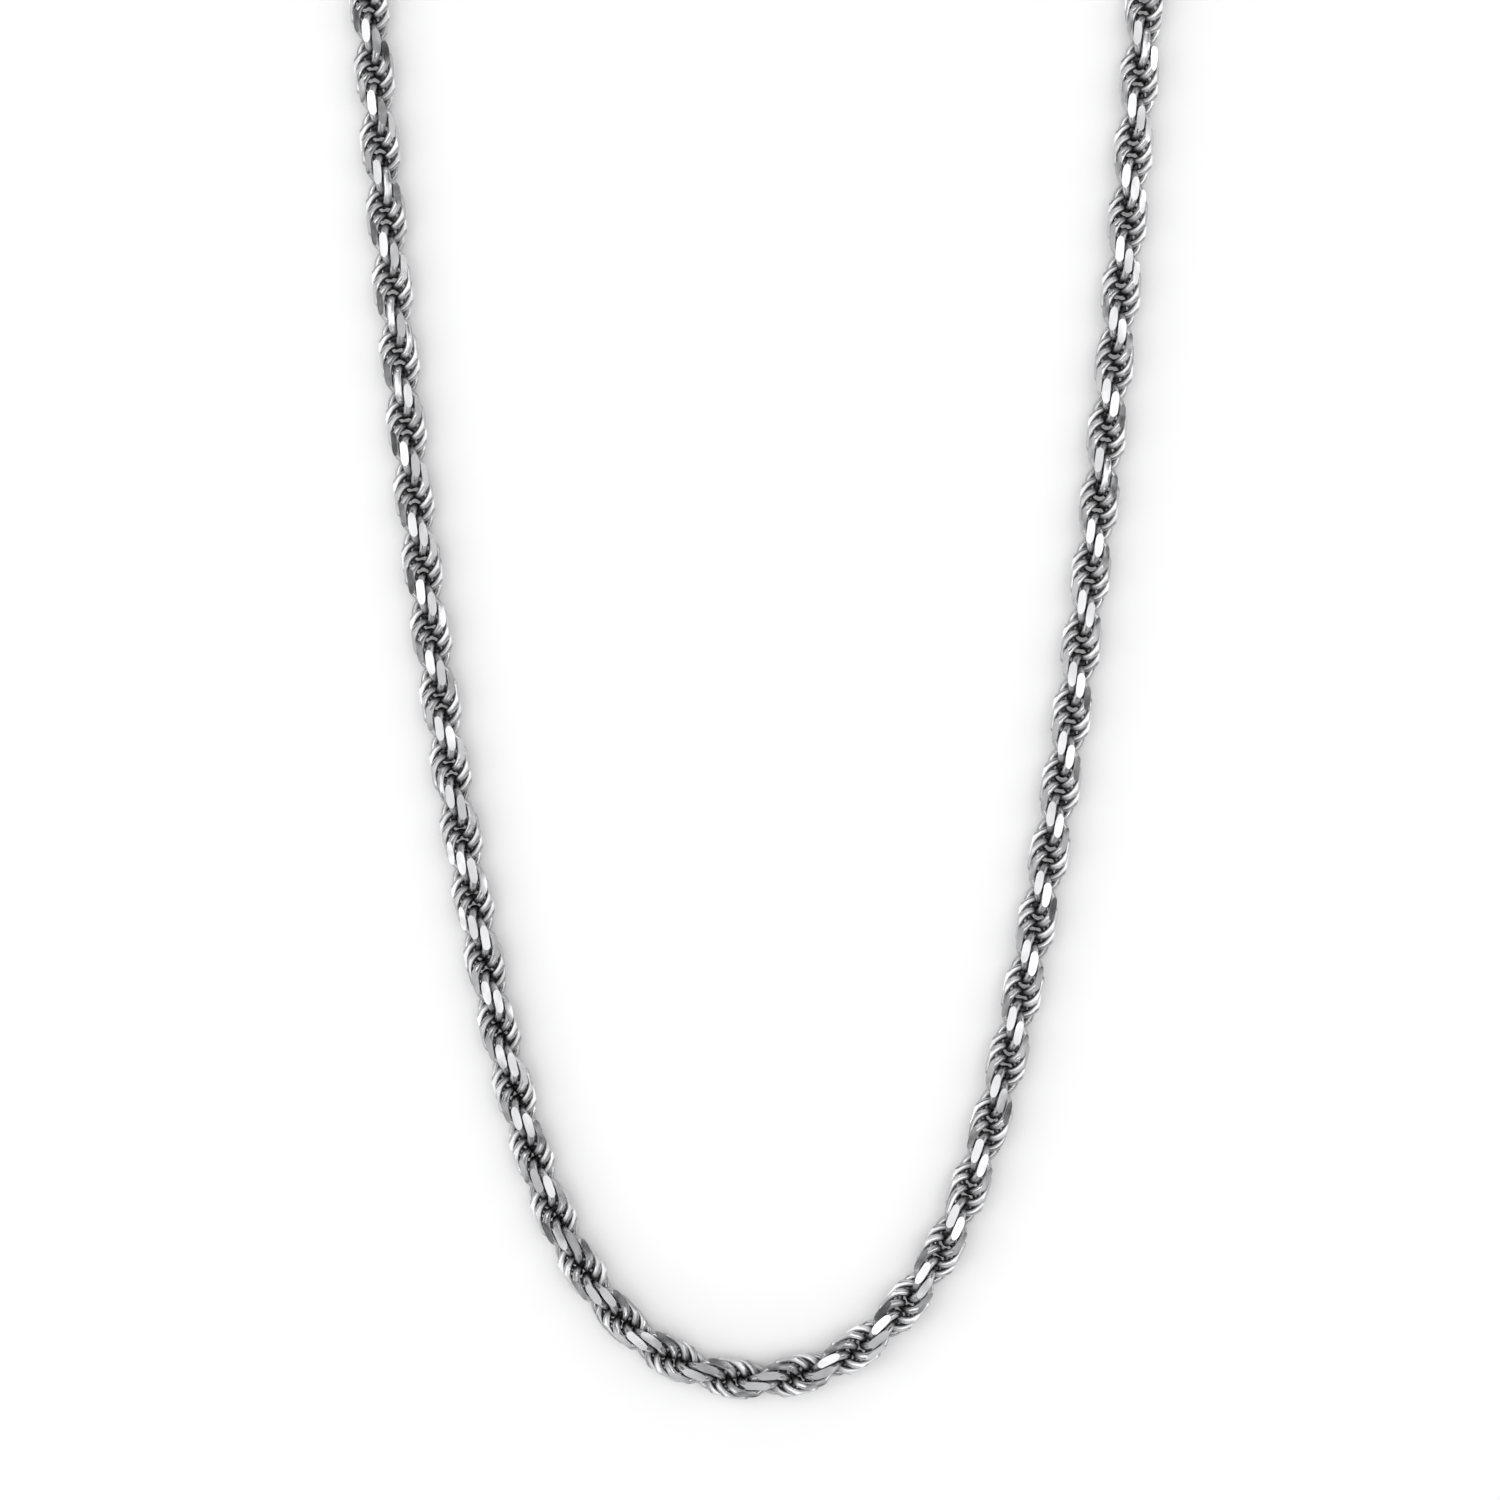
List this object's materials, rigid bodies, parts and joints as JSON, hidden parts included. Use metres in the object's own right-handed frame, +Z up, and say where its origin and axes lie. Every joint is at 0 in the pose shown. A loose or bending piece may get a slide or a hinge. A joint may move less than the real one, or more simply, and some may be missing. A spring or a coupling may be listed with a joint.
{
  "type": "rope chain necklace",
  "caption": "Diamond-cut rope chain necklace of polished silver, unfastened and laid flat in a U, with a spring lobster clasp and a catch ring at its ends.",
  "frame": {"origin": "centre of the bounding box of the laid-out necklace, on the surface it lies on", "axes": "+X to the right across the U, +Y from the U's bottom towards its open ends, +Z up from the surface"},
  "size_m": [0.0968, 0.239, 0.004],
  "materials": {
    "rope_silver": "polished",
    "fitting_silver": "polished",
    "spring_steel": "satin"
  },
  "bodies": {
    "rope_01": {"rope_01": "rope_silver", "end_cap_left": "fitting_silver"},
    "rope_02": {"rope_02": "rope_silver"},
    "rope_03": {"rope_03": "rope_silver"},
    "rope_04": {"rope_04": "rope_silver"},
    "rope_05": {"rope_05": "rope_silver"},
    "rope_06": {"rope_06": "rope_silver"},
    "rope_07": {"rope_07": "rope_silver"},
    "rope_08": {"rope_08": "rope_silver"},
    "rope_09": {"rope_09": "rope_silver"},
    "rope_10": {"rope_10": "rope_silver"},
    "rope_11": {"rope_11": "rope_silver"},
    "rope_12": {"rope_12": "rope_silver"},
    "rope_13": {"rope_13": "rope_silver"},
    "rope_14": {"rope_14": "rope_silver"},
    "rope_15": {"rope_15": "rope_silver"},
    "rope_16": {"rope_16": "rope_silver"},
    "rope_17": {"rope_17": "rope_silver"},
    "rope_18": {"rope_18": "rope_silver"},
    "rope_19": {"rope_19": "rope_silver"},
    "rope_20": {"rope_20": "rope_silver"},
    "rope_21": {"rope_21": "rope_silver"},
    "rope_22": {"rope_22": "rope_silver"},
    "rope_23": {"rope_23": "rope_silver"},
    "rope_24": {"rope_24": "rope_silver"},
    "rope_25": {"rope_25": "rope_silver"},
    "rope_26": {"rope_26": "rope_silver"},
    "rope_27": {"rope_27": "rope_silver"},
    "rope_28": {"rope_28": "rope_silver"},
    "rope_29": {"rope_29": "rope_silver"},
    "rope_30": {"rope_30": "rope_silver"},
    "rope_31": {"rope_31": "rope_silver"},
    "rope_32": {"rope_32": "rope_silver"},
    "rope_33": {"rope_33": "rope_silver"},
    "rope_34": {"rope_34": "rope_silver"},
    "rope_35": {"rope_35": "rope_silver"},
    "rope_36": {"rope_36": "rope_silver"},
    "rope_37": {"rope_37": "rope_silver"},
    "rope_38": {"rope_38": "rope_silver"},
    "rope_39": {"rope_39": "rope_silver"},
    "rope_40": {"rope_40": "rope_silver"},
    "rope_41": {"rope_41": "rope_silver"},
    "rope_42": {"rope_42": "rope_silver"},
    "rope_43": {"rope_43": "rope_silver"},
    "rope_44": {"rope_44": "rope_silver", "end_cap_right": "fitting_silver"},
    "jump_ring": {"jump_ring": "fitting_silver"},
    "clasp": {"clasp_body": "fitting_silver", "clasp_pin": "fitting_silver", "clasp_spring": "spring_steel"},
    "trigger": {"clasp_trigger": "fitting_silver"},
    "catch_ring": {"catch_ring": "fitting_silver"}
  },
  "joints": [
    {"name": "rope_bend_left_01", "type": "hinge", "parent": "rope_22", "child": "rope_21", "pos_m": [-0.00483, -0.11752, 0.002], "axis": [0, 0, -1], "range_deg": [-67, 5]},
    {"name": "rope_bend_left_02", "type": "hinge", "parent": "rope_21", "child": "rope_20", "pos_m": [-0.0131, -0.11263, 0.002], "axis": [0, 0, 1], "range_deg": [-13, 59]},
    {"name": "rope_bend_left_03", "type": "hinge", "parent": "rope_20", "child": "rope_19", "pos_m": [-0.01879, -0.10488, 0.002], "axis": [0, 0, 1], "range_deg": [-20, 50]},
    {"name": "rope_bend_left_04", "type": "hinge", "parent": "rope_19", "child": "rope_18", "pos_m": [-0.02249, -0.09596, 0.002], "axis": [0, 0, -1], "range_deg": [-43, 21]},
    {"name": "rope_bend_left_05", "type": "hinge", "parent": "rope_18", "child": "rope_17", "pos_m": [-0.02514, -0.0866, 0.002], "axis": [0, 0, -1], "range_deg": [-39, 23]},
    {"name": "rope_bend_left_06", "type": "hinge", "parent": "rope_17", "child": "rope_16", "pos_m": [-0.0273, -0.077, 0.002], "axis": [0, 0, 1], "range_deg": [-24, 38]},
    {"name": "rope_bend_left_07", "type": "hinge", "parent": "rope_16", "child": "rope_15", "pos_m": [-0.02919, -0.06719, 0.002], "axis": [0, 0, 1], "range_deg": [-25, 37]},
    {"name": "rope_lift_left_inner", "type": "hinge", "parent": "rope_15", "child": "rope_14", "pos_m": [-0.03089, -0.05718, 0.002], "axis": [0.9876, 0.1572, 0], "range_deg": [0, 36]},
    {"name": "rope_bend_left_09", "type": "hinge", "parent": "rope_14", "child": "rope_13", "pos_m": [-0.03241, -0.04699, 0.002], "axis": [0, 0, -1], "range_deg": [-37, 29]},
    {"name": "rope_bend_left_10", "type": "hinge", "parent": "rope_13", "child": "rope_12", "pos_m": [-0.03378, -0.03664, 0.002], "axis": [0, 0, 1], "range_deg": [-31, 37]},
    {"name": "rope_bend_left_11", "type": "hinge", "parent": "rope_12", "child": "rope_11", "pos_m": [-0.03501, -0.02615, 0.002], "axis": [0, 0, 1], "range_deg": [-33, 37]},
    {"name": "rope_bend_left_12", "type": "hinge", "parent": "rope_11", "child": "rope_10", "pos_m": [-0.03613, -0.01557, 0.002], "axis": [0, 0, -1], "range_deg": [-37, 35]},
    {"name": "rope_bend_left_13", "type": "hinge", "parent": "rope_10", "child": "rope_09", "pos_m": [-0.03714, -0.00491, 0.002], "axis": [0, 0, -1], "range_deg": [-36, 36]},
    {"name": "rope_bend_left_14", "type": "hinge", "parent": "rope_09", "child": "rope_08", "pos_m": [-0.03808, 0.00581, 0.002], "axis": [0, 0, 1], "range_deg": [-36, 36]},
    {"name": "rope_lift_left_outer", "type": "hinge", "parent": "rope_08", "child": "rope_07", "pos_m": [-0.03894, 0.01657, 0.002], "axis": [0.997, 0.0776, 0], "range_deg": [0, 36]},
    {"name": "rope_bend_left_16", "type": "hinge", "parent": "rope_07", "child": "rope_06", "pos_m": [-0.03975, 0.02736, 0.002], "axis": [0, 0, -1], "range_deg": [-36, 36]},
    {"name": "rope_bend_left_17", "type": "hinge", "parent": "rope_06", "child": "rope_05", "pos_m": [-0.04052, 0.03817, 0.002], "axis": [0, 0, -1], "range_deg": [-36, 36]},
    {"name": "rope_bend_left_18", "type": "hinge", "parent": "rope_05", "child": "rope_04", "pos_m": [-0.04125, 0.04899, 0.002], "axis": [0, 0, 1], "range_deg": [-36, 36]},
    {"name": "rope_bend_left_19", "type": "hinge", "parent": "rope_04", "child": "rope_03", "pos_m": [-0.04195, 0.05982, 0.002], "axis": [0, 0, 1], "range_deg": [-36, 36]},
    {"name": "rope_bend_left_20", "type": "hinge", "parent": "rope_03", "child": "rope_02", "pos_m": [-0.04262, 0.07067, 0.002], "axis": [0, 0, -1], "range_deg": [-36, 36]},
    {"name": "rope_bend_left_21", "type": "hinge", "parent": "rope_02", "child": "rope_01", "pos_m": [-0.04328, 0.08151, 0.002], "axis": [0, 0, -1], "range_deg": [-36, 36]},
    {"name": "rope_bend_right_01", "type": "hinge", "parent": "rope_22", "child": "rope_23", "pos_m": [0.00486, -0.11751, 0.002], "axis": [0, 0, 1], "range_deg": [-67, 5]},
    {"name": "rope_bend_right_02", "type": "hinge", "parent": "rope_23", "child": "rope_24", "pos_m": [0.0133, -0.11244, 0.002], "axis": [0, 0, -1], "range_deg": [-12, 60]},
    {"name": "rope_bend_right_03", "type": "hinge", "parent": "rope_24", "child": "rope_25", "pos_m": [0.01913, -0.10423, 0.002], "axis": [0, 0, -1], "range_deg": [-19, 50]},
    {"name": "rope_bend_right_04", "type": "hinge", "parent": "rope_25", "child": "rope_26", "pos_m": [0.0229, -0.09469, 0.002], "axis": [0, 0, 1], "range_deg": [-42, 20]},
    {"name": "rope_bend_right_05", "type": "hinge", "parent": "rope_26", "child": "rope_27", "pos_m": [0.02561, -0.08465, 0.002], "axis": [0, 0, 1], "range_deg": [-39, 21]},
    {"name": "rope_bend_right_06", "type": "hinge", "parent": "rope_27", "child": "rope_28", "pos_m": [0.02784, -0.07436, 0.002], "axis": [0, 0, -1], "range_deg": [-23, 38]},
    {"name": "rope_bend_right_07", "type": "hinge", "parent": "rope_28", "child": "rope_29", "pos_m": [0.02977, -0.06391, 0.002], "axis": [0, 0, -1], "range_deg": [-25, 37]},
    {"name": "rope_lift_right_inner", "type": "hinge", "parent": "rope_29", "child": "rope_30", "pos_m": [0.03148, -0.05336, 0.002], "axis": [0.9886, -0.1503, 0], "range_deg": [0, 36]},
    {"name": "rope_bend_right_09", "type": "hinge", "parent": "rope_30", "child": "rope_31", "pos_m": [0.03299, -0.04272, 0.002], "axis": [0, 0, 1], "range_deg": [-37, 28]},
    {"name": "rope_bend_right_10", "type": "hinge", "parent": "rope_31", "child": "rope_32", "pos_m": [0.03434, -0.03201, 0.002], "axis": [0, 0, -1], "range_deg": [-30, 37]},
    {"name": "rope_bend_right_11", "type": "hinge", "parent": "rope_32", "child": "rope_33", "pos_m": [0.03554, -0.02127, 0.002], "axis": [0, 0, -1], "range_deg": [-33, 37]},
    {"name": "rope_bend_right_12", "type": "hinge", "parent": "rope_33", "child": "rope_34", "pos_m": [0.03662, -0.01049, 0.002], "axis": [0, 0, 1], "range_deg": [-37, 35]},
    {"name": "rope_bend_right_13", "type": "hinge", "parent": "rope_34", "child": "rope_35", "pos_m": [0.03761, 0.00031, 0.002], "axis": [0, 0, 1], "range_deg": [-36, 36]},
    {"name": "rope_bend_right_14", "type": "hinge", "parent": "rope_35", "child": "rope_36", "pos_m": [0.03851, 0.01113, 0.002], "axis": [0, 0, -1], "range_deg": [-36, 36]},
    {"name": "rope_lift_right_outer", "type": "hinge", "parent": "rope_36", "child": "rope_37", "pos_m": [0.03936, 0.02196, 0.002], "axis": [0.9972, -0.075, 0], "range_deg": [0, 36]},
    {"name": "rope_bend_right_16", "type": "hinge", "parent": "rope_37", "child": "rope_38", "pos_m": [0.04014, 0.03279, 0.002], "axis": [0, 0, 1], "range_deg": [-36, 36]},
    {"name": "rope_bend_right_17", "type": "hinge", "parent": "rope_38", "child": "rope_39", "pos_m": [0.04089, 0.04364, 0.002], "axis": [0, 0, 1], "range_deg": [-36, 36]},
    {"name": "rope_bend_right_18", "type": "hinge", "parent": "rope_39", "child": "rope_40", "pos_m": [0.04161, 0.05448, 0.002], "axis": [0, 0, -1], "range_deg": [-36, 36]},
    {"name": "rope_bend_right_19", "type": "hinge", "parent": "rope_40", "child": "rope_41", "pos_m": [0.04229, 0.06533, 0.002], "axis": [0, 0, -1], "range_deg": [-36, 36]},
    {"name": "rope_bend_right_20", "type": "hinge", "parent": "rope_41", "child": "rope_42", "pos_m": [0.04296, 0.07619, 0.002], "axis": [0, 0, 1], "range_deg": [-36, 36]},
    {"name": "rope_bend_right_21", "type": "hinge", "parent": "rope_42", "child": "rope_43", "pos_m": [0.04361, 0.08704, 0.002], "axis": [0, 0, 1], "range_deg": [-36, 36]},
    {"name": "rope_bend_right_22", "type": "hinge", "parent": "rope_43", "child": "rope_44", "pos_m": [0.04425, 0.0979, 0.002], "axis": [0, 0, -1], "range_deg": [-36, 36]},
    {"name": "jump_ring_swing", "type": "hinge", "parent": "rope_01", "child": "jump_ring", "pos_m": [-0.0443, 0.09865, 0.002], "axis": [0, 0, 1], "range_deg": [-35, 35]},
    {"name": "clasp_lift", "type": "hinge", "parent": "jump_ring", "child": "clasp", "pos_m": [-0.04449, 0.1019, 0.002], "axis": [0.9983, 0.0589, 0], "range_deg": [0, 70]},
    {"name": "clasp_trigger_open", "type": "hinge", "parent": "clasp", "child": "trigger", "pos_m": [-0.04381, 0.10564, 0.0016], "axis": [0, 0, 1], "range_deg": [0, 25], "stiffness_Nm_per_rad": 0.02, "springref_deg": -14.32, "deforming": ["clasp_spring"]},
    {"name": "catch_ring_swing", "type": "hinge", "parent": "rope_44", "child": "catch_ring", "pos_m": [0.04524, 0.11504, 0.002], "axis": [0, 0, -1], "range_deg": [-35, 35]}
  ]
}
